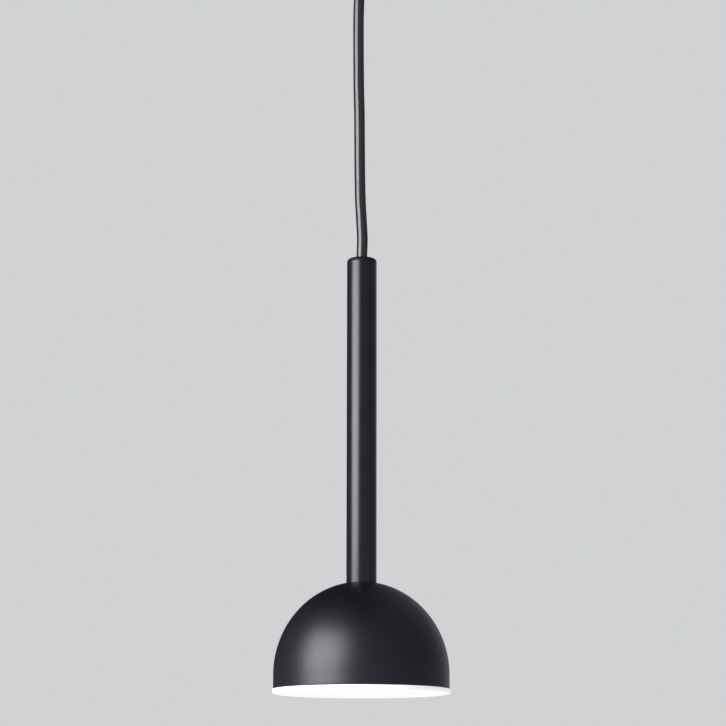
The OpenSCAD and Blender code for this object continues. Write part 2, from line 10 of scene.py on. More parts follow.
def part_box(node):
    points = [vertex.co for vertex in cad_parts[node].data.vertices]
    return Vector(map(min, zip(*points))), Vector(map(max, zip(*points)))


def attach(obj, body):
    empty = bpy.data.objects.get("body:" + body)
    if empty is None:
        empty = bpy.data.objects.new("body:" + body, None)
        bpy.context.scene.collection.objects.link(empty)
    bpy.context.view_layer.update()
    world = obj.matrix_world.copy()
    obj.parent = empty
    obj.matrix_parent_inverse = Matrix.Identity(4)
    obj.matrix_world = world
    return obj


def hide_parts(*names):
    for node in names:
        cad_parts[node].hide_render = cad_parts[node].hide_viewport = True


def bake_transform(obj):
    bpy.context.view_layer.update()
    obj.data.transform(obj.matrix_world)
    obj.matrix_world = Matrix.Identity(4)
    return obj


bl_info = {
    "name": "Pendant Ceiling Light",
    "version": (1, 0, 0),
    "blender": (4, 5, 0),
    "location": "3D View > Sidebar > Pendant",
    "description": "Builds a dome pendant light round its packed frame, piece by piece",
    "category": "Object",
}

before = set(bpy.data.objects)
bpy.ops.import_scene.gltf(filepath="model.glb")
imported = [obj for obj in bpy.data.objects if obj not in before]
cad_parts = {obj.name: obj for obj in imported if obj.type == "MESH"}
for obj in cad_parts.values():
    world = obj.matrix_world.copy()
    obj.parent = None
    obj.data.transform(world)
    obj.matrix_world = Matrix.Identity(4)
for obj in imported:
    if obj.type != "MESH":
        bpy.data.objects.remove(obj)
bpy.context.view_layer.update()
MM = 0.001


# ---- sizes read from the frame ----


def top(node):
    """Height of a node's highest point."""
    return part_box(node)[1].z


def foot(node):
    """Height of a node's lowest point."""
    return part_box(node)[0].z


def reach(node):
    """Greatest distance of a round node from the lamp's axis, along X."""
    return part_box(node)[1].x


RIM_Z = foot("dome_shade")
DOME_TOP_Z = top("dome_shade")
STEM_TOP_Z = top("stem_cap")
PIVOT_Z = top("cord")
CANOPY_FOOT_Z = foot("canopy_cup")
CORD_R = reach("cord_in_stem")

# Sheet of the dome, stem and canopy, and the threaded nipple that holds the dome
SHEET = 1.2 * MM
NIPPLE_R = 5.0 * MM
NIPPLE_HOLE_R = NIPPLE_R + 0.1 * MM

# Height of the rivets that hold the diffuser's clips
RIVET_Z = RIM_Z + 7.4 * MM

# Stations of the free cord, from the gland down to the stem
CORD_ROUTE = [
    (0, 0, -0.040), (0, 0, -0.043), (-0.0005, 0, -0.055), (-0.0016, 0, -0.070),
    (-0.0024, 0, -0.085), (-0.0027, 0, -0.100), (-0.0027, 0, -0.115), (-0.0026, 0, -0.130),
    (-0.0025, 0, -0.145), (-0.0022, 0, -0.160), (-0.0019, 0, -0.175), (-0.0018, 0, -0.190),
    (-0.0017, 0, -0.205), (-0.0015, 0, -0.220), (-0.0012, 0, -0.235), (-0.0004, 0, -0.250),
    (0.0003, 0, -0.265), (0, 0, -0.277), (0, 0, -0.280),
]


# ---- settings ----


def length_property(name, description, default):
    return FloatProperty(name=name, description=description, default=default,
                         min=0.0, subtype="DISTANCE", unit="LENGTH")


def colour_property(name, description, default):
    return FloatVectorProperty(name=name, description=description, default=default,
                               min=0.0, max=1.0, size=3, subtype="COLOR")


class PendantSizes(bpy.types.PropertyGroup):
    """Sizes that the frame leaves open."""

    dome_wall: length_property("Dome wall", "Sheet thickness of the dome shade", SHEET)
    skirt_height: length_property(
        "Skirt height", "Straight part of the dome above its rim", 10.4 * MM)
    rim_round: length_property("Rim rounding", "Radius on the dome's cut edge", 0.4 * MM)
    cap_round: length_property("Cap rounding", "Radius round the top of the stem's cap", 2.8 * MM)
    core_radius: length_property("Core radius", "Radius of each insulated core", 1.1 * MM)
    edge_break: length_property("Edge break", "Bevel on the edges of small hardware", 0.12 * MM)
    round_steps: IntProperty(
        name="Steps round", description="Faces round the large turned pieces",
        default=160, min=32, max=256)


class PendantColours(bpy.types.PropertyGroup):
    """Colours of the finishes."""

    lacquer: colour_property("Lacquer", "Satin black on the dome, stem and canopy",
                             (0.0024, 0.0017, 0.0046))
    inside: colour_property("Inside", "White enamel inside the dome", (0.82, 0.82, 0.80))
    opal: colour_property("Opal", "The diffuser's acrylic", (0.62, 0.62, 0.615))
    glow: colour_property("Glow", "The lit diffuser's light", (0.99, 1.0, 0.995))
    jacket: colour_property("Jacket", "The cord's outer sheath", (0.012, 0.012, 0.0135))
    zinc: colour_property("Zinc", "Plated steel of the brackets and nuts", (0.56, 0.57, 0.60))
    brass: colour_property("Brass", "Terminal and earth screws", (0.70, 0.50, 0.20))


# ---- shader maths ----


class Wire:
    """A shader socket that works in Python sums: each sum adds a Math node."""

    def __init__(self, nodes, socket):
        self.nodes = nodes
        self.socket = socket

    def maths(self, operation, first, second):
        return self.nodes.add("ShaderNodeMath", {"operation": operation}, {0: first, 1: second})

    def __add__(self, other):
        return self.maths("ADD", self, other)

    def __radd__(self, other):
        return self.maths("ADD", other, self)

    def __mul__(self, other):
        return self.maths("MULTIPLY", self, other)


class Nodes:
    """A tree of shader nodes, to which one method adds them all."""

    def __init__(self, tree):
        self.tree = tree

    def add(self, kind, settings=None, values=None, output=0):
        """Adds a node, sets it up, fills its sockets and returns one of its outputs."""
        node = self.tree.nodes.new(kind)
        for name, value in (settings or {}).items():
            setattr(node, name, value)
        for name, value in (values or {}).items():
            if isinstance(value, Wire):
                self.tree.links.new(value.socket, node.inputs[name])
            else:
                node.inputs[name].default_value = value
        return Wire(self, node.outputs[output]) if node.outputs else None


class Finish(Nodes):
    """A node material round one Principled shader, with constants on the shader's own sockets."""

    def __init__(self, name, **constants):
        self.material = bpy.data.materials.new(name)
        self.material.use_nodes = True
        super().__init__(self.material.node_tree)
        self.shader = self.tree.nodes["Principled BSDF"]
        for socket, value in constants.items():
            self.shader.inputs[socket.replace("_", " ")].default_value = value

    def feed(self, **wires):
        """Joins wires to the shader's sockets, such as Base_Color or Roughness."""
        for socket, wire in wires.items():
            self.tree.links.new(wire.socket, self.shader.inputs[socket.replace("_", " ")])
        return self

    def place(self, stretch=(1, 1, 1)):
        """Position on the piece, in metres, stretched along each axis."""
        spot = self.add("ShaderNodeTexCoord", output="Object")
        return self.add("ShaderNodeVectorMath", {"operation": "MULTIPLY"}, {0: spot, 1: stretch})

    def grain(self, scale, detail=2.0, rough=0.5, stretch=(1, 1, 1)):
        """Smooth noise from 0 to 1 with a grain of 1/scale metres."""
        return self.add("ShaderNodeTexNoise", None, {
            "Vector": self.place(stretch), "Scale": scale, "Detail": detail, "Roughness": rough})

    def mix(self, factor, first, second):
        """Colour between two colours."""
        return self.add("ShaderNodeMix", {"data_type": "RGBA"},
                        {0: factor, 6: rgba(first), 7: rgba(second)}, output=2)

    def bump(self, height, strength, depth):
        """Normal of a surface raised by height times depth metres."""
        return self.add("ShaderNodeBump", None,
                        {"Height": height, "Strength": strength, "Distance": depth})


def rgba(colour):
    """The colour with full opacity, or the wire as it is."""
    if isinstance(colour, Wire):
        return colour
    return (*tuple(colour)[:3], 1.0)


def shade(colour, amount):
    """The colour made lighter or darker."""
    return tuple(min(1.0, c * amount) for c in colour)


FINISHES = {}


def finish(name):
    """The named finish, made once."""
    if name not in FINISHES:
        FINISHES[name] = FINISH_MAKERS[name](name).material
    return FINISHES[name]


def colours():
    """The colour settings."""
    return bpy.context.scene.pendant_colours


def sizes():
    """The size settings."""
    return bpy.context.scene.pendant_sizes


# ---- finishes ----


def satin_lacquer(name, gloss_loss=0.27):
    """Sprayed satin black on metal: fine orange peel, faint clouding of the gloss."""
    sheen = (0.985, 0.955, 1.0, 1.0)
    f = Finish(name, IOR=1.5, Specular_Tint=sheen)
    base = colours().lacquer
    cloud = f.grain(38, 3.0)
    peel = f.grain(620, 2.0, 0.4)
    fine = f.grain(2600, 1.0)
    return f.feed(
        Base_Color=f.mix(cloud, shade(base, 0.86), shade(base, 1.16)),
        Roughness=gloss_loss + cloud * 0.05 + fine * 0.03,
        Normal=f.bump(peel * 0.8 + fine * 0.2, 0.10, 0.00008),
    )


def dome_lacquer(name):
    """The same black on the spun dome, where the sheet under it is a little less smooth."""
    return satin_lacquer(name, 0.38)


def cap_polymer(name):
    """Matt black moulding that closes the stem."""
    return moulded(name, (0.0035, 0.003, 0.005), 0.55, ior=1.3)


def pale_floor(name):
    """Matt pale sheet, evenly lit from above."""
    f = Finish(name, Roughness=0.9, Emission_Strength=0.86)
    tone = f.mix(f.grain(3.0, 3.0), (0.60, 0.61, 0.62), (0.64, 0.65, 0.66))
    return f.feed(Base_Color=tone, Emission_Color=tone)


def white_enamel(name):
    """Baked white inside the dome, with faint clouding."""
    f = Finish(name, IOR=1.5)
    base = colours().inside
    cloud = f.grain(30, 3.0)
    peel = f.grain(700, 2.0)
    return f.feed(
        Base_Color=f.mix(cloud, shade(base, 0.96), base),
        Roughness=0.42 + cloud * 0.08,
        Normal=f.bump(peel, 0.12, 0.00008),
    )


def cord_jacket(name):
    """Extruded PVC sheath: glossy, with fine drawing lines along its length."""
    f = Finish(name, IOR=1.54)
    base = colours().jacket
    lines = f.grain(1500, 2.0, 0.6, (1, 1, 0.012))
    bloom = f.grain(160, 3.0)
    return f.feed(
        Base_Color=f.mix(lines, shade(base, 0.7), shade(base, 1.6)),
        Roughness=0.17 + lines * 0.08 + bloom * 0.04,
        Normal=f.bump(lines, 0.22, 0.00012),
    )


def opal_acrylic(name):
    """Milky acrylic that glows evenly, with a fine frost on its face."""
    f = Finish(name, IOR=1.49, Emission_Strength=0.50, Subsurface_Weight=0.15,
               Subsurface_Scale=0.004)
    base = colours().opal
    glow = colours().glow
    cloud = f.grain(22, 2.0)
    frost = f.grain(3200, 2.0, 0.6)
    return f.feed(
        Base_Color=f.mix(cloud, shade(base, 0.985), base),
        Emission_Color=f.mix(cloud, shade(glow, 0.97), glow),
        Roughness=0.38 + frost * 0.10,
        Normal=f.bump(frost, 0.06, 0.00005),
    )


def metal(name, base, rough, line_stretch):
    """Drawn or rolled metal with lines along one way and faint clouding."""
    f = Finish(name, Metallic=1.0)
    lines = f.grain(1800, 3.0, 0.6, line_stretch)
    cloud = f.grain(90, 3.0)
    return f.feed(
        Base_Color=f.mix(cloud, shade(base, 0.82), shade(base, 1.08)),
        Roughness=rough + lines * 0.12 + cloud * 0.06,
        Normal=f.bump(lines, 0.12, 0.00006),
    )


def zinc_plate(name):
    """Plated strip, rolled along X."""
    return metal(name, colours().zinc, 0.30, (0.08, 1, 1))


def zinc_turned(name):
    """Plated steel turned on a lathe, with lines round its axis."""
    return metal(name, shade(colours().zinc, 1.05), 0.24, (0.15, 0.15, 1))


def spring_steel(name):
    """Tempered strip, drawn along Z."""
    return metal(name, shade(colours().zinc, 0.86), 0.26, (1, 1, 0.05))


def brass_plain(name):
    """Unplated brass of the terminals and screws."""
    return metal(name, colours().brass, 0.22, (1, 1, 0.2))


def nickel_wire(name):
    """Bright wire of the bulb's pins."""
    return metal(name, (0.68, 0.66, 0.62), 0.18, (1, 1, 0.05))


def moulded(name, base, rough, grain_depth=0.00006, grain_scale=2400, ior=1.5):
    """Moulded plastic or rubber with a fine spark-eroded grain."""
    f = Finish(name, IOR=ior)
    grain = f.grain(grain_scale, 3.0, 0.6)
    cloud = f.grain(70, 2.0)
    return f.feed(
        Base_Color=f.mix(cloud, shade(base, 0.9), shade(base, 1.1)),
        Roughness=rough + grain * 0.12,
        Normal=f.bump(grain, 0.25, grain_depth),
    )


def black_nylon(name):
    """The gland's moulded parts."""
    return moulded(name, (0.016, 0.016, 0.017), 0.42)


def black_rubber(name):
    """The gland's ball and the stem's bushing."""
    return moulded(name, (0.020, 0.020, 0.020), 0.62)


def white_nylon(name):
    """The terminal block."""
    return moulded(name, (0.80, 0.80, 0.76), 0.40)


def glazed_ceramic(name):
    """The lampholder and the bulb's base, with a coarser grain."""
    return moulded(name, (0.84, 0.82, 0.75), 0.34, 0.0001, 900)


def brown_sleeve(name):
    """Insulation of the live cores."""
    return moulded(name, (0.14, 0.05, 0.022), 0.32)


def blue_sleeve(name):
    """Insulation of the neutral cores."""
    return moulded(name, (0.02, 0.10, 0.42), 0.32)


def green_sleeve(name):
    """Ground colour of the earth cores."""
    return moulded(name, (0.03, 0.26, 0.04), 0.32)


def yellow_sleeve(name):
    """Stripe of the earth cores."""
    return moulded(name, (0.80, 0.62, 0.03), 0.32)


def frosted_bulb(name):
    """Frosted envelope, lit from inside."""
    f = Finish(name, IOR=1.5, Emission_Strength=0.6)
    frost = f.grain(2600, 2.0)
    return f.feed(
        Base_Color=f.mix(frost, (0.86, 0.85, 0.82), (0.92, 0.91, 0.88)),
        Emission_Color=f.mix(frost, (0.95, 0.90, 0.80), (1.0, 0.95, 0.86)),
        Roughness=0.45 + frost * 0.1,
    )


FINISH_MAKERS = {
    maker.__name__: maker
    for maker in (
        satin_lacquer, dome_lacquer, cap_polymer, pale_floor, white_enamel, cord_jacket,
        opal_acrylic, zinc_plate, zinc_turned, spring_steel, brass_plain, nickel_wire,
        black_nylon, black_rubber, white_nylon, glazed_ceramic, brown_sleeve, blue_sleeve,
        green_sleeve, yellow_sleeve, frosted_bulb,
    )
}


# ---- shapes ----


def laid_out(name, mesh):
    """The mesh as an object in the scene."""
    piece = bpy.data.objects.new(name, mesh)
    bpy.context.collection.objects.link(piece)
    return piece


def set_down(name, shell):
    """A new mesh with the shell's faces."""
    mesh = bpy.data.meshes.new(name)
    shell.to_mesh(mesh)
    shell.free()
    return mesh


def solid(name, points, faces, *finish_names):
    """A mesh piece with smooth faces and sharp creases."""
    mesh = bpy.data.meshes.new(name)
    mesh.from_pydata([tuple(p) for p in points], [], faces)
    for finish_name in finish_names:
        mesh.materials.append(finish(finish_name))
    return crease(laid_out(name, mesh))


def crease(piece, angle=32):
    """Smooths the piece's faces, and keeps edges sharper than the angle, in degrees."""
    piece.data.shade_smooth()
    piece.data.set_sharp_from_angle(angle=math.radians(angle))
    return piece


def soften(corners, steps=4, closed=True):
    """Outline with its corners rounded: a corner is (r, z) or (r, z, radius)."""
    outline = []
    count = len(corners)
    for i, corner in enumerate(corners):
        here = Vector(corner[:2])
        radius = corner[2] if len(corner) > 2 else 0.0
        ends = not closed and i in (0, count - 1)
        if radius <= 0 or ends:
            outline.append(tuple(here))
            continue
        back = (Vector(corners[i - 1][:2]) - here).normalized()
        ahead = (Vector(corners[(i + 1) % count][:2]) - here).normalized()
        half = back.angle(ahead) / 2
        middle = here + (back + ahead).normalized() * radius / math.sin(half)
        first = here + back * radius / math.tan(half) - middle
        last = here + ahead * radius / math.tan(half) - middle
        for k in range(steps + 1):
            outline.append(tuple(middle + first.slerp(last, k / steps).normalized() * radius))
    return outline


def turned(name, outline, *finish_names, steps=None, closed=True, bulge=None):
    """A piece turned about Z from an outline of (r, z). bulge changes r by angle."""
    steps = steps or sizes().round_steps
    points, rows, faces = [], [], []
    for r, z in outline:
        if r < 1e-7:
            rows.append([len(points)] * steps)
            points.append((0, 0, z))
            continue
        rows.append(list(range(len(points), len(points) + steps)))
        for k in range(steps):
            a = math.tau * k / steps
            wide = r if bulge is None else bulge(r, z, a)
            points.append((wide * math.cos(a), wide * math.sin(a), z))
    pairs = len(rows) if closed else len(rows) - 1
    for i in range(pairs):
        lower, upper = rows[i], rows[(i + 1) % len(rows)]
        for k in range(steps):
            n = (k + 1) % steps
            corners = list(dict.fromkeys((lower[k], lower[n], upper[n], upper[k])))
            if len(corners) > 2:
                faces.append(corners)
    piece = solid(name, points, faces, *finish_names)
    return outward(piece)


def outward(piece):
    """Turns every face's normal out of its closed shell."""
    shell = bmesh.new()
    shell.from_mesh(piece.data)
    bmesh.ops.recalc_face_normals(shell, faces=shell.faces)
    shell.to_mesh(piece.data)
    shell.free()
    return piece


def moved(piece, at, axis):
    """Puts a piece made along +Z at a point, pointing along axis."""
    turn = Vector(axis).to_track_quat("Z", "Y").to_matrix().to_4x4()
    piece.data.transform(Matrix.Translation(at) @ turn)
    return piece


def joined(name, pieces):
    """One piece out of several with the same finishes."""
    shell = bmesh.new()
    for piece in pieces:
        shell.from_mesh(piece.data)
    mesh = set_down(name, shell)
    for material in pieces[0].data.materials:
        mesh.materials.append(material)
    for piece in pieces:
        bpy.data.objects.remove(piece)
    return laid_out(name, mesh)


def settled(piece):
    """The piece with its modifiers made part of its mesh."""
    graph = bpy.context.evaluated_depsgraph_get()
    mesh = bpy.data.meshes.new_from_object(piece.evaluated_get(graph))
    piece.modifiers.clear()
    piece.data = mesh
    return piece


def carved(piece, cutters):
    """Cuts the cutters out of the piece."""
    for cutter in cutters:
        cut = piece.modifiers.new("cut", "BOOLEAN")
        cut.operation = "DIFFERENCE"
        cut.solver = "EXACT"
        cut.object = cutter
    settled(piece)
    for cutter in cutters:
        bpy.data.objects.remove(cutter)
    return crease(piece)


def block(name, low, high, finish_name):
    """A box between two corners, for the floor and for cutting slots."""
    shell = bmesh.new()
    bmesh.ops.create_cube(shell, size=1.0)
    low, high = Vector(low), Vector(high)
    for v in shell.verts:
        v.co = Vector((v.co[i] + 0.5) * (high[i] - low[i]) + low[i] for i in range(3))
    mesh = set_down(name, shell)
    mesh.materials.append(finish(finish_name))
    return crease(laid_out(name, mesh))


def smooth_route(stations, gap):
    """Points every gap metres or so on a smooth curve through the stations."""
    spots = [Vector(s) for s in stations]
    points = []
    for i in range(len(spots) - 1):
        a, b = spots[i], spots[i + 1]
        before = spots[i - 1] if i else a * 2 - b
        after = spots[i + 2] if i + 2 < len(spots) else b * 2 - a
        pull_a = (b - before) / 2
        pull_b = (after - a) / 2
        pieces = max(1, round((b - a).length / gap))
        for k in range(pieces):
            t = k / pieces
            points.append(
                a * (2 * t**3 - 3 * t**2 + 1) + pull_a * (t**3 - 2 * t**2 + t)
                + b * (3 * t**2 - 2 * t**3) + pull_b * (t**3 - t**2))
    points.append(spots[-1])
    return points


def tube(name, route, radius, *finish_names, sides=24, bulge=None, stripe=0):
    """A round tube along a route. The first sides of each ring, stripe of them, take finish two."""
    points, faces, stripes = [], [], []
    along = (route[1] - route[0]).normalized()
    side = along.orthogonal().normalized()
    travelled = 0.0
    for i, spot in enumerate(route):
        ahead = route[min(i + 1, len(route) - 1)] - route[max(i - 1, 0)]
        turn = along.rotation_difference(ahead.normalized())
        side = (turn @ side).normalized()
        along = ahead.normalized()
        across = along.cross(side)
        if i:
            travelled += (spot - route[i - 1]).length
        for k in range(sides):
            a = math.tau * k / sides
            r = radius if bulge is None else bulge(radius, travelled, a)
            points.append(spot + side * math.cos(a) * r + across * math.sin(a) * r)
    for i in range(len(route) - 1):
        for k in range(sides):
            n = (k + 1) % sides
            faces.append((i * sides + k, i * sides + n, (i + 1) * sides + n, (i + 1) * sides + k))
            stripes.append(int(k < stripe))
    faces.append(tuple(reversed(range(sides))))
    faces.append(tuple((len(route) - 1) * sides + k for k in range(sides)))
    piece = solid(name, points, faces, *finish_names)
    for face, mark in zip(piece.data.polygons, stripes):
        face.material_index = mark
    return piece


def threaded(name, r, low, high, pitch, finish_name, bore=0.0, steps=48):
    """A threaded rod or pipe along Z, with a true helical thread."""
    depth = pitch * 0.5
    rows_a_turn = 6
    rows = max(8, round((high - low) / pitch * rows_a_turn))
    points, faces = [], []
    for i in range(rows + 1):
        z = low + (high - low) * i / rows
        for k in range(steps):
            a = math.tau * k / steps
            phase = ((z - low) / pitch - k / steps) % 1.0
            fade = min(1.0, i / 3, (rows - i) / 3)
            cut = depth * abs(2 * phase - 1) * fade + depth * 0.6 * (1 - fade)
            points.append(((r - cut) * math.cos(a), (r - cut) * math.sin(a), z))
    for i in range(rows):
        for k in range(steps):
            n = (k + 1) % steps
            faces.append((i * steps + k, i * steps + n, (i + 1) * steps + n, (i + 1) * steps + k))
    if bore > 0:
        start = len(points)
        for z in (low, high):
            for k in range(steps):
                a = math.tau * k / steps
                points.append((bore * math.cos(a), bore * math.sin(a), z))
        last = rows * steps
        for k in range(steps):
            n = (k + 1) % steps
            faces.append((start + n, start + k, k, n))
            faces.append((last + k, last + n, start + steps + n, start + steps + k)[::-1])
            faces.append((start + k, start + n, start + steps + n, start + steps + k))
    else:
        faces.append(tuple(reversed(range(steps))))
        faces.append(tuple(rows * steps + k for k in range(steps)))
    return outward(solid(name, points, faces, finish_name))


def hex_nut(name, flats, bore, low, high, finish_name):
    """A hexagon nut with chamfered corners."""
    flat_r = flats / 2
    face_r = flat_r * 0.96
    chamfer = 0.55 * MM
    lip = 0.3 * MM

    def six_sided(r, z, a):
        if r < flat_r * 0.99:
            return r
        edge = (a + math.pi / 6) % (math.pi / 3) - math.pi / 6
        return flat_r / math.cos(math.pi / 6 - abs(edge))

    outline = [(bore + lip, low), (face_r, low), (flat_r, low + chamfer),
               (flat_r, high - chamfer), (face_r, high), (bore + lip, high),
               (bore, high - lip), (bore, low + lip)]
    return turned(name, outline, finish_name, steps=72, bulge=six_sided)


# ---- putting pieces in the frame ----


def fit(piece, body, slot, *nodes):
    """The piece moves with its body and stands for its CAD nodes."""
    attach(piece, body)
    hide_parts(*nodes)
    return piece


def dress(node, finish_name, edge=None):
    """Gives a CAD node its finish and breaks its sharp edges."""
    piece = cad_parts[node]
    for holder in piece.material_slots:
        holder.material = finish(finish_name)
    weld = piece.modifiers.new("weld", "WELD")
    weld.merge_threshold = 0.002 * MM
    flats = piece.modifiers.new("flats", "DECIMATE")
    flats.decimate_type = "DISSOLVE"
    flats.angle_limit = math.radians(0.5)
    broken = piece.modifiers.new("edges", "BEVEL")
    broken.width = sizes().edge_break if edge is None else edge
    broken.segments = 2
    broken.limit_method = "ANGLE"
    broken.angle_limit = math.radians(38)
    broken.harden_normals = False
    return piece


# ---- operators ----


class PENDANT_OT_camera(bpy.types.Operator):
    """Sets the camera below and in front of the lamp, looking up at it"""

    bl_idname = "pendant.camera"
    bl_label = "Camera"
    bl_options = {"REGISTER", "UNDO"}

    def execute(self, context):
        distance, below_rim, aside = 1.8, 0.0988, 0.0013
        upward, lean = 10.503, -0.07
        data = bpy.data.cameras.new("camera")
        data.sensor_width = 36.0
        data.lens = 125.26
        camera = bpy.data.objects.new("camera", data)
        camera.location = (aside, -distance, RIM_Z - below_rim)
        camera.rotation_euler = (math.radians(90 + upward), math.radians(lean), 0)
        context.collection.objects.link(camera)
        context.scene.camera = camera
        return {"FINISHED"}


class PENDANT_OT_cord(bpy.types.Operator):
    """Builds the free cord between the stem and the gland"""

    bl_idname = "pendant.cord"
    bl_label = "Cord"
    bl_options = {"REGISTER", "UNDO"}

    def execute(self, context):
        cores, twist, raised = 3, 90 * MM, 0.004
        route = smooth_route(list(reversed(CORD_ROUTE)), 2.5 * MM)

        def lay(r, travelled, a):
            """The twisted cores under the jacket raise it a little."""
            turn = a - math.tau * travelled / twist
            return r * (1 - raised + raised * math.cos(cores * turn))

        cord = tube("cord_sheath", route, CORD_R, "cord_jacket", sides=60, bulge=lay)
        fit(cord, "cord", "cord_jacket", "cord")
        length = sum((b - a).length for a, b in zip(route, route[1:]))
        return {"FINISHED"}


# Pale parts of the dark room that the lamp reflects: toward, edge, full, strength
ROOM_GLOWS = (
    ((0.30, 1.0, 0.10), 0.84, 1.0, 0.32),
    ((1.0, 0.0, 0.0), -0.1, 0.5, 0.26),
    ((-1.0, 0.35, 0.0), 0.5, 1.0, 0.13),
    ((0.0, -1.0, 0.0), 0.3, 1.0, 0.22),
)
ROOM_DARK = 0.01
ROOM_LIGHT = (1.0, 0.92, 1.13)
BACKDROP = (0.6308, 0.6445, 0.6584)


class PENDANT_OT_stage(bpy.types.Operator):
    """Sets the pale floor, the soft light and the surroundings"""

    bl_idname = "pendant.stage"
    bl_label = "Stage"
    bl_options = {"REGISTER", "UNDO"}

    def execute(self, context):
        half_wide, top_z, thick = 14, -2.30, 0.02
        block("floor", (-half_wide, -half_wide, top_z - thick),
                       (half_wide, half_wide, top_z), "pale_floor")
        self.window(context, spot=(-0.98, -0.78, RIM_Z + 0.45), wide=1.19, tall=1.12, power=41)
        self.surroundings(context)
        context.scene.view_settings.view_transform = "Standard"
        return {"FINISHED"}

    def window(self, context, spot, wide, tall, power):
        """A soft rectangle of light on the left, turned to the dome."""
        light = bpy.data.lights.new("window_left", "AREA")
        light.shape = "RECTANGLE"
        light.size = wide
        light.size_y = tall
        light.energy = power
        lamp = bpy.data.objects.new("window_left", light)
        lamp.location = spot
        aim = Vector((0, 0, RIM_Z + 0.12)) - Vector(spot)
        lamp.rotation_euler = aim.to_track_quat("-Z", "Y").to_euler()
        lamp.visible_camera = False
        context.collection.objects.link(lamp)

    def surroundings(self, context):
        """A pale backdrop for the eye, and a dark room with pale parts for the reflections."""
        world = bpy.data.worlds.new("room")
        world.use_nodes = True
        world.node_tree.nodes.clear()
        room = Nodes(world.node_tree)
        way = room.add("ShaderNodeTexCoord", output="Generated")
        strength = ROOM_DARK
        for toward, edge, full, glow in ROOM_GLOWS:
            turn = room.add("ShaderNodeVectorMath", {"operation": "DOT_PRODUCT"},
                            {0: way, 1: Vector(toward).normalized()}, output="Value")
            strength = strength + room.add(
                "ShaderNodeMapRange", {"interpolation_type": "SMOOTHSTEP"},
                {"Value": turn, "From Min": edge, "From Max": full, "To Min": 0.0, "To Max": glow})
        lit = room.add("ShaderNodeBackground", None,
                       {"Color": rgba(ROOM_LIGHT), "Strength": strength})
        seen = room.add("ShaderNodeBackground", None, {"Color": rgba(BACKDROP)})
        eye = room.add("ShaderNodeLightPath", output="Is Camera Ray")
        pick = room.add("ShaderNodeMixShader", None, {0: eye, 1: lit, 2: seen})
        room.add("ShaderNodeOutputWorld", None, {"Surface": pick})
        context.scene.world = world


class PENDANT_OT_dome(bpy.types.Operator):
    """Builds the spun dome shade, black outside and white inside"""

    bl_idname = "pendant.dome"
    bl_label = "Dome shade"
    bl_options = {"REGISTER", "UNDO"}

    def execute(self, context):
        wall = sizes().dome_wall
        outer_r = reach("dome_shade")
        middle_z = RIM_Z + sizes().skirt_height
        seat_r = reach("stem_tube")
        rise = (DOME_TOP_Z - middle_z) / math.sqrt(1 - (seat_r / outer_r) ** 2)
        bends = 80

        def arch(r, height, first, last):
            return [
                (r * math.cos(a), middle_z + height * math.sin(a))
                for a in (first + (last - first) * i / bends for i in range(bends + 1))
            ]

        seat = math.acos(seat_r / outer_r)
        flat_z = DOME_TOP_Z - wall
        inner_r, inner_rise = outer_r - wall, rise - wall
        inner_seat = math.asin((flat_z - middle_z) / inner_rise)
        edge = sizes().rim_round
        hem_z = RIM_Z + 2 * MM
        outline = (
            [(NIPPLE_HOLE_R, DOME_TOP_Z)] + arch(outer_r, rise, seat, 0)
            + [(outer_r, hem_z + 1 * MM)]
            + soften([(outer_r, hem_z), (outer_r, RIM_Z, edge), (inner_r, RIM_Z, edge),
                      (inner_r, hem_z)], 5, closed=False)
            + arch(inner_r, inner_rise, 0, inner_seat) + [(NIPPLE_HOLE_R, flat_z)]
        )
        dome = turned("dome_shell", outline, "dome_lacquer", "white_enamel")
        for face in dome.data.polygons:
            spot = face.center
            r = math.hypot(spot.x, spot.y)
            above = spot.z - middle_z
            share = r / outer_r if above < 0 else math.hypot(r / outer_r, above / rise)
            inside = share < 1 - 0.75 * wall / outer_r
            face.material_index = int(inside and r < inner_r + 0.1 * wall)
        fit(dome, "lamp", "black_metal", "dome_shade")
        return {"FINISHED"}


class PENDANT_OT_stem(bpy.types.Operator):
    """Builds the stem tube, its rounded cap and the cord's bushing"""

    bl_idname = "pendant.stem"
    bl_label = "Stem"
    bl_options = {"REGISTER", "UNDO"}

    def execute(self, context):
        r = reach("stem_tube")
        bore = r - SHEET
        seam_z = top("stem_tube")
        tube_edge = 0.12 * MM
        stem = turned("stem_barrel", soften([
            (bore, DOME_TOP_Z, tube_edge), (r, DOME_TOP_Z, tube_edge),
            (r, seam_z, tube_edge), (bore, seam_z, tube_edge)]), "satin_lacquer")
        fit(stem, "lamp", "black_metal", "stem_tube")
        spigot = bore - 0.05 * MM
        spigot_z = foot("stem_cap")
        rounding = sizes().cap_round
        hole = 5.85 * MM
        neck = CORD_R + 0.1 * MM
        ledge_z = foot("cord_bushing")
        cap = turned("stem_end_cap", soften([
            (hole, STEM_TOP_Z, 0.3 * MM), (r, STEM_TOP_Z, rounding), (r, seam_z, 0.1 * MM),
            (spigot, seam_z), (spigot, spigot_z, 0.4 * MM), (neck, spigot_z, 0.2 * MM),
            (neck, ledge_z), (hole, ledge_z)], 10), "cap_polymer")
        fit(cap, "lamp", "black_metal", "stem_cap")
        bush_r = reach("cord_bushing")
        bush_z = top("cord_bushing")
        grip = CORD_R + 0.05 * MM
        bush = turned("cord_bush", soften([
            (bush_r, ledge_z, 0.3 * MM), (bush_r, bush_z, 0.3 * MM), (grip, bush_z, 0.6 * MM),
            (grip, ledge_z, 0.3 * MM)]), "black_rubber", steps=72)
        fit(bush, "lamp", "black_rubber", "cord_bushing")
        dress("cord_clamp_screw", "zinc_turned")
        dress("cord_in_stem", "cord_jacket")
        return {"FINISHED"}


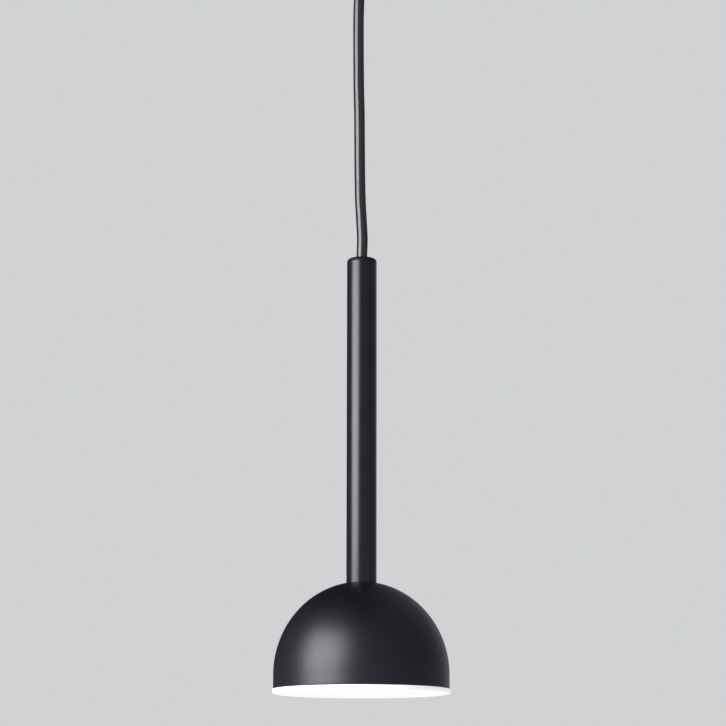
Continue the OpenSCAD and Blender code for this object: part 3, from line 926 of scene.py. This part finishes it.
class PENDANT_OT_diffuser(bpy.types.Operator):
    """Builds the opal diffuser with its spring clips and rivets"""

    bl_idname = "pendant.diffuser"
    bl_label = "Diffuser"
    bl_options = {"REGISTER", "UNDO"}

    def execute(self, context):
        r = reach("diffuser")
        low = foot("diffuser")
        high = top("diffuser")
        skirt_r = reach("dome_shade") - sizes().dome_wall - 2.7 * MM
        skirt_in = skirt_r - 1.5 * MM
        pan_z = low + 2.6 * MM
        outline = soften([
            (0, low), (r, low, 1.2 * MM), (r, RIM_Z, 0.4 * MM), (skirt_r, RIM_Z, 0.4 * MM),
            (skirt_r, high, 0.5 * MM), (skirt_in, high, 0.5 * MM), (skirt_in, pan_z, 1.0 * MM),
            (0, pan_z)], 8, closed=False)
        plate = turned("diffuser_plate", outline, "opal_acrylic", closed=False)
        fit(plate, "diffuser", "opal_acrylic", "diffuser")
        clips, rivets, clip_count = [], [], 3
        for i in range(clip_count):
            angle = math.radians(90 + 360 / clip_count * i)
            clips.append(self.clip(skirt_r, angle))
            rivets.append(self.rivet(skirt_in, skirt_r, angle))
        fit(joined("spring_clips", clips), "diffuser", "spring_steel", "diffuser_clips")
        crease(bpy.data.objects["spring_clips"])
        fit(joined("clip_rivet_set", rivets), "diffuser", "zinc_steel", "clip_rivets")
        crease(bpy.data.objects["clip_rivet_set"])
        return {"FINISHED"}

    def clip(self, back, angle):
        """A leaf that lies on the skirt, bows out to the dome and turns in at its foot."""
        thick = 0.4 * MM
        half = 4.0 * MM
        crest = reach("dome_shade") - sizes().dome_wall - 0.4 * MM - thick / 2
        flat = back + thick / 2
        near_crest = crest - 0.5 * MM
        line = smooth_route([
            (flat, 0, RIM_Z + 9.2 * MM), (flat, 0, RIVET_Z),
            (flat + 0.02 * MM, 0, RIM_Z + 5.7 * MM), (near_crest, 0, RIM_Z + 4.7 * MM),
            (crest, 0, RIM_Z + 4.0 * MM), (near_crest, 0, RIM_Z + 3.0 * MM),
            (flat + 0.5 * MM, 0, RIM_Z + 1.5 * MM), (flat, 0, RIM_Z + 0.8 * MM)], 0.25 * MM)
        taper, taper_steps = 0.9 * MM, 4
        points, faces = [], []
        for i, spot in enumerate(line):
            ahead = line[min(i + 1, len(line) - 1)] - line[max(i - 1, 0)]
            out = Vector((-ahead.z, 0, ahead.x)).normalized() * thick / 2
            ends = min(i, len(line) - 1 - i)
            wide = half - taper * max(0.0, 1 - ends / taper_steps) ** 2
            for side, layer in ((-1, 1), (1, 1), (1, -1), (-1, -1)):
                points.append(spot + out * layer + Vector((0, side * wide, 0)))
        for i in range(len(line) - 1):
            for k in range(4):
                n = (k + 1) % 4
                faces.append((i * 4 + k, i * 4 + n, i * 4 + 4 + n, i * 4 + 4 + k))
        faces.append((3, 2, 1, 0))
        faces.append(tuple(len(points) - 4 + k for k in range(4)))
        leaf = outward(solid("leaf", points, faces, "spring_steel"))
        leaf.data.transform(Matrix.Rotation(angle, 4, "Z"))
        return leaf

    def rivet(self, skirt_in, skirt_out, angle):
        """A rivet with a domed head inside the skirt and a flat one on the clip."""
        head = 1.7 * MM
        shank = 1.0 * MM
        tall = 0.6 * MM
        through = skirt_out + 0.45 * MM - skirt_in
        pin = turned("pin", soften([
            (0, -tall), (head * 0.6, -tall, 0.4 * MM), (head, -0.1 * MM, 0.1 * MM), (head, 0),
            (shank, 0), (shank, through), (head, through),
            (head, through + tall * 0.9, 0.2 * MM), (0, through + tall)], closed=False),
            "zinc_turned", steps=32, closed=False)
        turn = Matrix.Rotation(angle, 4, "Z")
        spot = Vector((skirt_in - 0.05 * MM, 0, RIVET_Z))
        return moved(pin, turn @ spot, turn @ Vector((1, 0, 0)))


class PENDANT_OT_canopy(bpy.types.Operator):
    """Builds the canopy cup and its knurled side screws"""

    bl_idname = "pendant.canopy"
    bl_label = "Canopy"
    bl_options = {"REGISTER", "UNDO"}

    def execute(self, context):
        r = reach("canopy_cup")
        wall = SHEET
        edge = 4.0 * MM
        lip = top("canopy_cup")
        floor_z = CANOPY_FOOT_Z + wall
        hole = 6.6 * MM
        cup = turned("canopy_shell", soften([
            (hole, CANOPY_FOOT_Z, 0.2 * MM), (r, CANOPY_FOOT_Z, edge), (r, lip, 0.3 * MM),
            (r - wall, lip, 0.3 * MM), (r - wall, floor_z, edge - wall), (hole, floor_z, 0.2 * MM)
        ], 10), "satin_lacquer")
        screw_z = -7.0 * MM
        slot_r, above_lip = 2.2 * MM, 10 * MM
        start, long = r - 3 * wall, 4 * wall
        cutters = []
        for way in (1, -1):
            x_in, x_out = sorted((way * start, way * (start + long)))
            slot = block("slot", (x_in, -slot_r, screw_z), (x_out, slot_r, above_lip),
                         "satin_lacquer")
            drill = turned("drill", [(0, 0), (slot_r, 0), (slot_r, long), (0, long)],
                           "satin_lacquer", steps=48, closed=False)
            moved(drill, (way * start, 0, screw_z), (way, 0, 0))
            cutters += [slot, drill]
        carved(cup, cutters)
        fit(cup, "canopy", "black_metal", "canopy_cup")
        screws = [self.thumb_screw(way, screw_z, r) for way in (1, -1)]
        pair = crease(joined("knurled_screws", screws))
        fit(pair, "ceiling", "black_metal", "canopy_side_screws")
        return {"FINISHED"}

    def thumb_screw(self, way, z, cup_r):
        """A knurled head outside the cup with its threaded shank through the bracket's tab."""
        head_r = 4.5 * MM
        teeth, deep = 36, 0.22 * MM

        def knurl(r, height, a):
            if r < head_r * 0.97:
                return r
            return r - deep * (0.5 + 0.5 * math.cos(teeth * a))

        start = cup_r + 0.15 * MM
        tall = reach("canopy_side_screws") - start
        face_r = head_r * 0.93
        dish_z = tall - 0.3 * MM
        head = turned("head", soften([
            (0, 0), (face_r, 0), (head_r, 0.3 * MM), (head_r, tall - 0.35 * MM),
            (face_r, tall), (head_r * 0.55, tall, 0.2 * MM),
            (head_r * 0.5, dish_z, 0.2 * MM), (0, dish_z)], closed=False),
            "satin_lacquer", steps=144, closed=False, bulge=knurl)
        tip, shank_r, pitch = 44.1 * MM, 1.95 * MM, 0.7 * MM
        shank = threaded("shank", shank_r, tip - start, 0.1 * MM, pitch, "satin_lacquer")
        return moved(joined("screw", [head, shank]), (way * start, 0, z), (way, 0, 0))


class PENDANT_OT_gland(bpy.types.Operator):
    """Builds the cord gland, its ball, collar and nut"""

    bl_idname = "pendant.gland"
    bl_label = "Gland"
    bl_options = {"REGISTER", "UNDO"}

    def execute(self, context):
        socket_r = 7.7 * MM
        shank_r = 6.45 * MM
        body_r = 10.0 * MM
        flange_r = reach("cord_gland")
        neck_r = 9.0 * MM
        bore = CORD_R + 0.2 * MM
        high = top("cord_gland")
        flange_low = CANOPY_FOOT_Z - 2 * MM
        gap = 0.05 * MM
        collar_high = top("gland_collar")
        collar_top = collar_high + gap
        meet = math.asin(bore / socket_r)
        socket = [
            (socket_r * math.sin(a), PIVOT_Z + socket_r * math.cos(a))
            for a in (math.pi / 2 + (meet - math.pi / 2) * i / 16 for i in range(17))
        ]
        body = turned("gland_body", soften([
            (bore, high, 0.3 * MM), (shank_r, high, 0.4 * MM), (shank_r, CANOPY_FOOT_Z),
            (flange_r, CANOPY_FOOT_Z, 0.3 * MM), (flange_r, flange_low, 0.8 * MM),
            (body_r, flange_low, 0.2 * MM), (body_r, collar_top, 0.2 * MM),
            (neck_r, collar_top), (neck_r, PIVOT_Z)]) + socket, "black_nylon", steps=96)
        fit(body, "canopy", "black_nylon", "cord_gland")
        nose_z = foot("gland_collar")
        waist_low = 4 * MM
        waist_z = PIVOT_Z - waist_low
        mouth_r = 7.8 * MM
        waist_r = math.sqrt(socket_r**2 - waist_low**2)
        cheek = [
            (socket_r * math.cos(a), PIVOT_Z - socket_r * math.sin(a))
            for a in (math.asin(waist_low / socket_r) * (1 - i / 8) for i in range(1, 9))
        ]
        ribs, rib_depth = 24, 0.35 * MM

        def ribbed(r, z, a):
            between = collar_top - 1.2 * MM > z > nose_z + 2.2 * MM
            if r < body_r - 0.01 * MM or not between:
                return r
            return r - rib_depth * max(0.0, math.cos(ribs * a)) ** 2

        collar = turned("gland_ring", soften([
            (neck_r + gap, collar_high), (body_r, collar_high, 0.3 * MM),
            (body_r, collar_high - 1.1 * MM), (body_r, collar_high - 1.6 * MM),
            (body_r, nose_z + 2.6 * MM), (body_r, nose_z + 2.1 * MM),
            (body_r, nose_z, 1.9 * MM), (mouth_r, nose_z, 0.5 * MM), (waist_r, waist_z)], 6)
            + cheek + [(neck_r + gap, PIVOT_Z)], "black_nylon", steps=144, bulge=ribbed)
        fit(collar, "canopy", "black_nylon", "gland_collar")
        self.ball()
        nut = hex_nut("gland_lock_nut", 17 * MM, shank_r + 0.02 * MM, CANOPY_FOOT_Z + SHEET,
                      top("gland_nut"), "zinc_turned")
        fit(nut, "canopy", "zinc_steel", "gland_nut")
        dress("gland_grub_screw", "black_nylon")
        dress("cord_in_canopy", "cord_jacket")
        return {"FINISHED"}

    def ball(self):
        """Rubber ball whose bore narrows round the cord at its middle."""
        r = 7.5 * MM
        half = 3.5 * MM
        waist = CORD_R + 0.2 * MM
        mouth = CORD_R + 1.2 * MM
        lean = math.asin(half / r)
        side = [
            (r * math.cos(a), PIVOT_Z + r * math.sin(a))
            for a in (-lean + 2 * lean * i / 16 for i in range(17))
        ]
        bore = [
            (waist + (mouth - waist) * abs(1 - i / 4), PIVOT_Z + half * (1 - i / 4))
            for i in range(9)
        ]
        fit(turned("gland_bead", side + bore, "black_rubber", steps=96),
            "gland_ball", "black_rubber", "gland_ball")


def core(name, stations, body, slot, node, *finish_names):
    """One insulated core on its way, with a stripe if it has two finishes.

    Without a body, it stretches between the ceiling's terminals and the canopy.
    """
    route = smooth_route(stations, 1.5 * MM)
    stripe = 8 if len(finish_names) > 1 else 0
    piece = tube(name, route, sizes().core_radius, *finish_names, sides=24, stripe=stripe)
    if body:
        return fit(piece, body, slot, node)
    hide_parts(node)
    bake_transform(piece)
    return piece


def millimetres(*stations):
    """The stations in metres."""
    return [tuple(v * MM for v in s) for s in stations]


class PENDANT_OT_ceiling_plate(bpy.types.Operator):
    """Finishes the ceiling bracket, the terminal block and their screws"""

    bl_idname = "pendant.ceiling_plate"
    bl_label = "Ceiling bracket"
    bl_options = {"REGISTER", "UNDO"}

    def execute(self, context):
        for node, look, edge in (
            ("ceiling_bracket", "zinc_plate", 0.2), ("terminal_block", "white_nylon", 0.25),
            ("terminal_screws", "brass_plain", 0.08), ("block_fixing_screw", "zinc_turned", 0.08),
            ("bracket_earth_screw", "brass_plain", 0.1),
        ):
            dress(node, look, edge * MM)
        return {"FINISHED"}


class PENDANT_OT_canopy_wiring(bpy.types.Operator):
    """Runs the three cores from the cord's tail to the terminals"""

    bl_idname = "pendant.canopy_wiring"
    bl_label = "Canopy wiring"
    bl_options = {"REGISTER", "UNDO"}

    def execute(self, context):
        supply = [
            (1.6, -1, -17.5), (1.6, -1, -16.2), (2.4, -2.4, -14.8), (5, -6.5, -14.4),
            (9, -11, -14.2), (14, -14, -14.6), (24, -12, -16), (28, -2, -17), (24, 8, -15),
            (16, 12, -10), (9, 13, -8), (8, 17, -8)]
        core("canopy_core_blue", millimetres(*supply), None, "blue_core",
             "canopy_neutral_core", "blue_sleeve")
        core("canopy_core_brown", millimetres(*((-x, y, z) for x, y, z in supply)), None,
             "brown_core", "canopy_live_core", "brown_sleeve")
        core("canopy_core_earth", millimetres(
            (0, 1.9, -17.5), (0, 1.9, -16.2), (0.3, 3.4, -14.8), (1.2, 6.5, -14.6),
            (3, 10, -16), (6, 13, -19.5), (10, 13.5, -22), (14, 12, -23), (20, 5, -22),
            (22, -3, -17), (20, -8, -10), (18, -7.5, -5), (17, -5, -3)),
            None, "earth_core", "canopy_earth_core", "green_sleeve", "yellow_sleeve")
        return {"FINISHED"}


class PENDANT_OT_stem_wiring(bpy.types.Operator):
    """Runs the three cores down the stem to the lampholder"""

    bl_idname = "pendant.stem_wiring"
    bl_label = "Stem wiring"
    bl_options = {"REGISTER", "UNDO"}

    def execute(self, context):
        end_z = foot("threaded_nipple")
        long_straight = end_z + 20 * MM
        last_straight = end_z + MM
        x, y, earth_y = 1.6 * MM, -1.0 * MM, 1.9 * MM
        bend = (2.4 * MM, -0.6 * MM, foot("holder_bracket") + 2.2 * MM)
        for side, node, slot, sleeve in ((-1, "live_core", "brown_core", "brown_sleeve"),
                                         (1, "neutral_core", "blue_core", "blue_sleeve")):
            core("stem_" + node, [
                (side * x, y, top(node)), (side * x, y, long_straight),
                (side * x, y, last_straight), (side * bend[0], bend[1], bend[2]),
                (side * 3 * MM, 0, foot(node))], "lamp", slot, node, sleeve)
        tag_x = 10.8 * MM
        tag_z = (foot("earth_tag") + top("earth_tag")) / 2
        core("stem_earth_core", [
            (0, earth_y, top("earth_core")), (0, earth_y, long_straight),
            (0, earth_y, last_straight), (0.3 * MM, 3.2 * MM, end_z - 1.2 * MM),
            (1.6 * MM, 6.2 * MM, end_z - 2 * MM), (5 * MM, 8.8 * MM, end_z - 1.6 * MM),
            (9 * MM, 8.6 * MM, end_z - 0.4 * MM), (tag_x, 7 * MM, tag_z),
            (tag_x, 5.8 * MM, tag_z)], "lamp", "earth_core", "earth_core",
            "green_sleeve", "yellow_sleeve")
        return {"FINISHED"}


class PENDANT_OT_foot_fittings(bpy.types.Operator):
    """Builds the plug, nipple, washers and nut that clamp the dome to the stem"""

    bl_idname = "pendant.foot_fittings"
    bl_label = "Dome clamp"
    bl_options = {"REGISTER", "UNDO"}

    def execute(self, context):
        plug_r = reach("stem_plug")
        plug_z = top("stem_plug")
        plug = turned("stem_foot_plug", soften([
            (NIPPLE_R, DOME_TOP_Z, 0.4 * MM), (plug_r, DOME_TOP_Z, 0.4 * MM),
            (plug_r, plug_z, 0.6 * MM), (NIPPLE_R, plug_z, 0.4 * MM)]),
            "zinc_turned", steps=72)
        fit(plug, "lamp", "zinc_steel", "stem_plug")
        pitch, bore = 1.0 * MM, 3.8 * MM
        nipple = threaded("hollow_nipple", NIPPLE_R - 0.05 * MM, foot("threaded_nipple"),
                          top("threaded_nipple"), pitch, "zinc_turned", bore=bore, steps=64)
        fit(crease(nipple, 50), "lamp", "zinc_steel", "threaded_nipple")
        washer = self.washer("flat_washer", "dome_washer", 72)
        fit(washer, "lamp", "zinc_steel", "dome_washer")

        teeth, tooth = 14, 0.7 * MM
        rim_r = reach("lock_washer") * 0.9

        def toothed(r, z, a):
            notch = r >= rim_r and math.sin(teeth * a) > 0.35
            return r - tooth * notch

        star = self.washer("star_washer", "lock_washer", 168, toothed)
        fit(star, "lamp", "zinc_steel", "lock_washer")
        nut = hex_nut("foot_nut", 14 * MM, NIPPLE_R, foot("nipple_nut"), top("nipple_nut"),
                      "zinc_turned")
        fit(nut, "lamp", "zinc_steel", "nipple_nut")
        dress("holder_bracket", "zinc_plate", 0.2 * MM)
        return {"FINISHED"}

    def washer(self, name, node, steps, bulge=None):
        """A flat ring with rounded edges that fits the nipple."""
        r = reach(node)
        low, high = foot(node), top(node)
        return turned(name, soften([
            (NIPPLE_HOLE_R, low, 0.15 * MM), (r, low, 0.2 * MM), (r, high, 0.1 * MM),
            (NIPPLE_HOLE_R, high, 0.15 * MM)], 3), "zinc_turned", steps=steps, bulge=bulge)


class PENDANT_OT_lampholder(bpy.types.Operator):
    """Finishes the ceramic lampholder, its contacts and its earth tag"""

    bl_idname = "pendant.lampholder"
    bl_label = "Lampholder"
    bl_options = {"REGISTER", "UNDO"}

    def execute(self, context):
        for node, look, edge in (
            ("lampholder", "glazed_ceramic", 0.5), ("holder_contacts", "brass_plain", 0.08),
            ("holder_screws", "zinc_turned", 0.1), ("earth_tag", "brass_plain", 0.1),
            ("earth_screw", "brass_plain", 0.1),
        ):
            dress(node, look, edge * MM)
        return {"FINISHED"}


class PENDANT_OT_bulb(bpy.types.Operator):
    """Builds the two-pin bulb: its base, looped pins and frosted envelope"""

    bl_idname = "pendant.bulb"
    bl_label = "Bulb"
    bl_options = {"REGISTER", "UNDO"}

    def execute(self, context):
        dress("bulb_base", "glazed_ceramic", 0.6 * MM)
        r = reach("bulb_envelope")
        low, high = foot("bulb_envelope"), top("bulb_envelope")
        dome = [
            (r * math.cos(a), low + r - r * math.sin(a))
            for a in (math.pi / 2 * i / 24 for i in range(25))
        ]
        dome[-1] = (0, low)
        neck = soften([(0, high), (r - 2 * MM, high, 1.0 * MM), (r, high - 2 * MM, 1.5 * MM),
                       (r, high - 5 * MM)], 6, closed=False)
        envelope = turned("bulb_glass", neck + dome, "frosted_bulb", steps=72, closed=False)
        fit(envelope, "bulb", "frosted_envelope", "bulb_envelope")
        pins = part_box("bulb_pins")
        half_pitch = 4.5 * MM
        wire = 0.35 * MM
        bend = 0.95 * MM
        arch_z = pins[1].z - wire - bend
        loops = []
        for side in (-1, 1):
            x = side * half_pitch
            arch = [
                Vector((x - bend * math.cos(a), 0, arch_z + bend * math.sin(a)))
                for a in (math.pi * i / 16 for i in range(17))
            ]
            foot_z = pins[0].z
            route = [Vector((x - bend, 0, foot_z)), *arch, Vector((x + bend, 0, foot_z))]
            loops.append(tube("loop", route, wire, "nickel_wire", sides=16))
        fit(crease(joined("pin_loops", loops)), "bulb", "nickel", "bulb_pins")
        return {"FINISHED"}


OPERATORS = (
    PENDANT_OT_camera, PENDANT_OT_gland, PENDANT_OT_cord, PENDANT_OT_stage, PENDANT_OT_dome,
    PENDANT_OT_stem, PENDANT_OT_diffuser, PENDANT_OT_canopy, PENDANT_OT_ceiling_plate,
    PENDANT_OT_canopy_wiring, PENDANT_OT_stem_wiring, PENDANT_OT_foot_fittings,
    PENDANT_OT_lampholder, PENDANT_OT_bulb,
)


class PENDANT_PT_pieces(bpy.types.Panel):
    """Lists the lamp's pieces and their sizes"""

    bl_label = "Pendant Light"
    bl_idname = "PENDANT_PT_pieces"
    bl_space_type = "VIEW_3D"
    bl_region_type = "UI"
    bl_category = "Pendant"

    def draw(self, context):
        for settings in (context.scene.pendant_sizes, context.scene.pendant_colours):
            box = self.layout.box()
            for name in settings.__annotations__:
                box.prop(settings, name)
        column = self.layout.column(align=True)
        for operator in OPERATORS:
            column.operator(operator.bl_idname)


CLASSES = (PendantSizes, PendantColours, *OPERATORS, PENDANT_PT_pieces)


def register():
    for cls in CLASSES:
        bpy.utils.register_class(cls)
    bpy.types.Scene.pendant_sizes = PointerProperty(type=PendantSizes)
    bpy.types.Scene.pendant_colours = PointerProperty(type=PendantColours)


def unregister():
    del bpy.types.Scene.pendant_colours
    del bpy.types.Scene.pendant_sizes
    for cls in reversed(CLASSES):
        bpy.utils.unregister_class(cls)


def main():
    """Builds every piece in order."""
    register()
    for operator in OPERATORS:
        group, name = operator.bl_idname.split(".")
        getattr(getattr(bpy.ops, group), name)()


if __name__ == "__main__":
    main()
